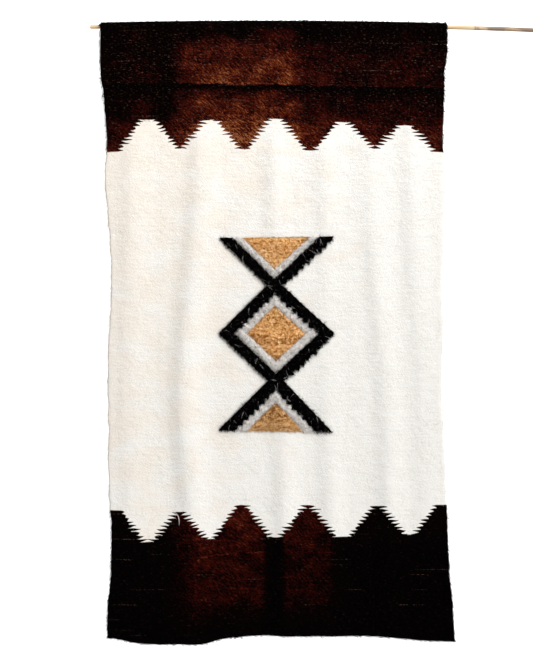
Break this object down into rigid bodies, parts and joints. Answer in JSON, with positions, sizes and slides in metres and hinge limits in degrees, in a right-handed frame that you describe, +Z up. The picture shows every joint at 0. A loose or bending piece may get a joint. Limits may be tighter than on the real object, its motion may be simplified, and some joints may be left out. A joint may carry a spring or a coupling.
{
  "type": "alpaca rug on a hanging rod",
  "caption": "Hand-woven alpaca rug hung from a bamboo cane by a sleeve at its top, with a raised pile motif of hourglasses and a diamond on its front",
  "frame": {"origin": "on the cane's axis at the middle of the cloth's width", "axes": "+Z up along the hanging cloth, the cloth's front faces -Y, +X to the right as seen from the front"},
  "size_m": [1.2003, 0.0258, 1.6209],
  "materials": {
    "alpaca_cloth": "brushed weave, cream with dark brown ends",
    "bamboo": "smooth skin",
    "black_alpaca": "long pile",
    "grey_alpaca": "pile",
    "tan_alpaca": "pile"
  },
  "bodies": {
    "root": {"rug_cloth": "alpaca_cloth", "hanging_rod": "bamboo", "black_pile": "black_alpaca", "grey_pile_top": "grey_alpaca", "grey_pile_middle": "grey_alpaca", "grey_pile_bottom": "grey_alpaca", "tan_pile_top": "tan_alpaca", "tan_pile_middle": "tan_alpaca", "tan_pile_bottom": "tan_alpaca"}
  },
  "joints": []
}
